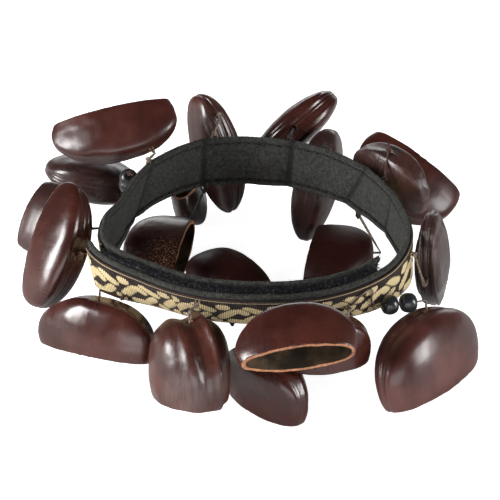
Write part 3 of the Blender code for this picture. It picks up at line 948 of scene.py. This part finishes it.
def overhand(bm, at, axis, size, thread):
    # a small knot: one thread that winds three times through itself
    turned, points, steps = facing(at, axis), [], knotCut["steps"]
    for k in range(steps + 1):
        t = 2 * math.pi * k / steps
        spot = Vector((math.sin(t) + 2 * math.sin(2 * t), math.cos(t) - 2 * math.cos(2 * t),
                       -knotCut["flat"] * math.sin(3 * t)))
        points.append(turned @ (spot * size / knotCut["reach"]))
    strand(bm, points, thread)


def bead(at, run):
    # turned bead with a bore; the outline is spun once round
    bm, outline, steps = bmesh.new(), [], beadCut["steps"]
    for k in range(steps + 1):
        t = math.pi * k / steps
        out = beadCut["bore"] + beadCut["wall"] * math.sin(t) ** beadCut["round"]
        outline.append(bm.verts.new((out, 0, -beadCut["half"] * math.cos(t))))
    edges = [bm.edges.new(outline[k:k + 2]) for k in range(steps)] + [bm.edges.new([outline[-1], outline[0]])]
    bmesh.ops.spin(bm, geom=outline + edges, cent=(0, 0, 0), axis=(0, 0, 1), angle=2 * math.pi,
                   steps=beadCut["around"], use_merge=True)
    outward(bm)
    bmesh.ops.transform(bm, matrix=facing(at, run), verts=bm.verts[:])
    return bm


def sewnAt(angle, edge):
    # where along the strap a tie is sewn, its stitch, and the way into the cloth
    wind = (strapCut["innerEnd"] - angle) % 360
    if wind < strapCut["tabEnd"] - 360:
        wind += 360
    up, face = strapFrame(wind)[3:5]
    clear, half = tieCut["clear"], strapCut["thick"] / 2
    if edge == "low":
        return wind, onStrap(wind, -clear, half), up
    if edge == "top":
        return wind, onStrap(wind, strapCut["width"] + clear, half), -up
    return wind, onStrap(wind, edge * mm, ribbonFace + clear), -face


def tieNut(name, wind, stitch, into, spread, hung, drill):
    # two threads from the stitch, over the keel and down the hole to a stop knot
    thread, clear, turns = tieCut["thread"], tieCut["clear"], tieCut["turns"]
    outer = hung + drill * tieCut["beadReach" if name in beads else "reach"]
    inner = hung - drill * (nutCut["wall"] + tieCut["through"])
    run = (outer - stitch).normalized()
    across = drill.cross(run)
    across = across.normalized() if across.length > 0.1 else spread
    bm, sewn = bmesh.new(), bmesh.new()
    for sign in (-1, 1):
        apart, aside = spread * sign * mm, across * sign * mm
        root = stitch + into * (clear + tieCut["rootDeep"]) + apart * tieCut["rootApart"]
        foot = stitch + into * clear * tieCut["footShare"] + apart * tieCut["footApart"]
        points = [stitch + apart * tieCut["knotApart"]]
        strand(sewn, [root, foot] + points, thread)
        for k in range(1, turns + 1):
            twist = math.pi * k / turns + (0 if sign > 0 else math.pi)
            off = across * math.cos(twist) + run.cross(across) * math.sin(twist)
            points.append(stitch.lerp(outer, k / turns) + off * tieCut["twist"])
        points += [hung + drill * tieCut["bend"] + aside * tieCut["bendApart"],
                   hung + aside * tieCut["holeApart"], inner]
        strand(bm, smoothed(points), thread)
    stop, start = inner - drill * tieCut["stopAt"], inner - drill * tieCut["tailAt"]
    overhand(bm, stitch, run, tieCut["knot"], thread)
    overhand(bm, stop, drill, tieCut["stop"], thread * tieCut["stopThick"])
    bmesh.ops.create_icosphere(bm, subdivisions=2, radius=tieCut["stop"] * tieCut["stopCore"],
                               matrix=Matrix.Translation(stop))
    for sign in (-1, 1):
        apart = spread * sign * mm
        tail = -drill * tieCut["tail"] * mm + apart * dice.uniform(*tieCut["tailSpread"])
        end = start + tail * tieCut["tailBend"] + apart * tieCut["tailApart"]
        strand(bm, [start, start + tail, end], thread * tieCut["tailThick"], 5)
    finish = tieCords.get(name, blackCord)
    place(sewn, "stitch." + name, "tab" if wind > strapCut["tabStart"] else "strap", [finish])
    place(bm, "tie." + name, "nut_" + name, [finish], ["tie_" + name])
    for number, share in enumerate(beads.get(name, ()), 1):
        place(bead(stitch.lerp(outer, share), run), "bead.%s.%d" % (name, number), "nut_" + name,
              [beadBlack], ["bead_%s_%d" % (name, number)])


for name, ((angle, edge), hang, mouth, along, size, hole, look) in nuts.items():
    wind, stitch, into = sewnAt(angle, edge)
    corner, ahead, out, up, face = strapFrame(wind)
    z, x = -Vector(mouth).normalized(), Vector(along)
    x = (x - z * x.dot(z)).normalized()
    spin = Matrix((x, z.cross(x), z)).transposed()
    at, drill = holeAt(size[0] * mm, size[1] * mm, hole)
    hung = stitch + (out * hang[0] + ahead * hang[1] + upright * hang[2]) * mm
    nutShell(name, size, hole, Matrix.Translation(hung - spin @ at) @ spin.to_4x4(), look)
    spread = ahead if edge in ("low", "top") else ahead * 0.6 + up * 0.2
    tieNut(name, wind, stitch, into, spread, hung, spin @ drill)

# a spare end of cord that curls on the ribbon: wind, mm up the cloth
spareCut = {"thick": 0.36 * mm, "off": 0.65 * mm,
            "run": [(376.4, 9.4), (375.6, 11.2), (374.4, 13), (372.3, 14.6), (370.2, 14.4), (369, 12.6),
                    (368.6, 10), (367.6, 7)]}
bm = bmesh.new()
strand(bm, [onStrap(wind, up * mm, ribbonFace + spareCut["off"]) for wind, up in spareCut["run"]],
       spareCut["thick"])
place(bm, "spareCord", "strap", [tanCord])
print("nuts, ties and beads done")


# stage: white floor and sky, soft lamps, camera
white = Finish("whiteFloor", Base_Color=(0.9, 0.9, 0.9, 1), Roughness=0.9, Specular_IOR_Level=0.0,
               Emission_Color=(1, 1, 1, 1))
seen = white.node("LightPath", {}).outputs["Is Camera Ray"]
white.feed(white.shader.inputs["Emission Strength"], white.calc("MULTIPLY", seen, 0.9))
bm = bmesh.new()
bmesh.ops.create_grid(bm, x_segments=1, y_segments=1, size=3)
linked("floor", meshOf(bm, "floor", [white.mat]))

skyLook = {"low": 0.0, "high": 0.7, "walls": 0.13, "ceiling": 0.03}
sky = bpy.data.worlds.new("sky")
bpy.context.scene.world = sky
air = Nodes(sky)
height = air.node("SeparateXYZ", {0: air.node("TexCoord", {}).outputs["Generated"]}).outputs[2]
tone = air.node("MapRange", {0: height, 1: skyLook["low"], 2: skyLook["high"], 3: skyLook["walls"],
                             4: skyLook["ceiling"]}).outputs[0]
seen = air.node("LightPath", {}).outputs["Is Camera Ray"]
level = air.node("MapRange", {0: seen, 3: tone, 4: 1.0}).outputs[0]     # white where the camera sees it
glow = air.tree.nodes["Background"].inputs
glow["Color"].default_value = (1, 1, 1, 1)
air.feed(glow["Strength"], level)

# softboxes: place, width and height, power
lamps = {"left": ((-1.0, -0.32, 0.5), (0.32, 0.66), 20.0), "right": ((1.0, -0.36, 0.36), (0.24, 0.54), 9.0),
         "front": ((0.0, -1.35, 0.2), (1.6, 0.5), 8.0), "behind": ((0.15, 1.2, 0.25), (1.2, 0.3), 3.0)}
lampAim = Vector((0, 0, 0.03))
for name, (spot, (wide, tall), power) in lamps.items():
    lamp = bpy.data.lights.new(name, "AREA")
    lamp.shape, lamp.size, lamp.size_y, lamp.energy = "RECTANGLE", wide, tall, power
    made = linked(name, lamp)
    made.location = spot
    made.rotation_euler = (lampAim - Vector(spot)).to_track_quat("-Z", "Y").to_euler()

shot = {"lens": 180, "sensor": 36, "from": Vector((-2.6, -692.8, 432)) * mm, "at": Vector((-2.6, 0, 32)) * mm}
camera = linked("camera", bpy.data.cameras.new("camera"))
camera.data.lens, camera.data.sensor_width = shot["lens"], shot["sensor"]
camera.location = shot["from"]
camera.rotation_euler = (shot["at"] - shot["from"]).to_track_quat("-Z", "Y").to_euler()
bpy.context.scene.camera = camera
bpy.context.scene.view_settings.view_transform = "Standard"

print("stage done")
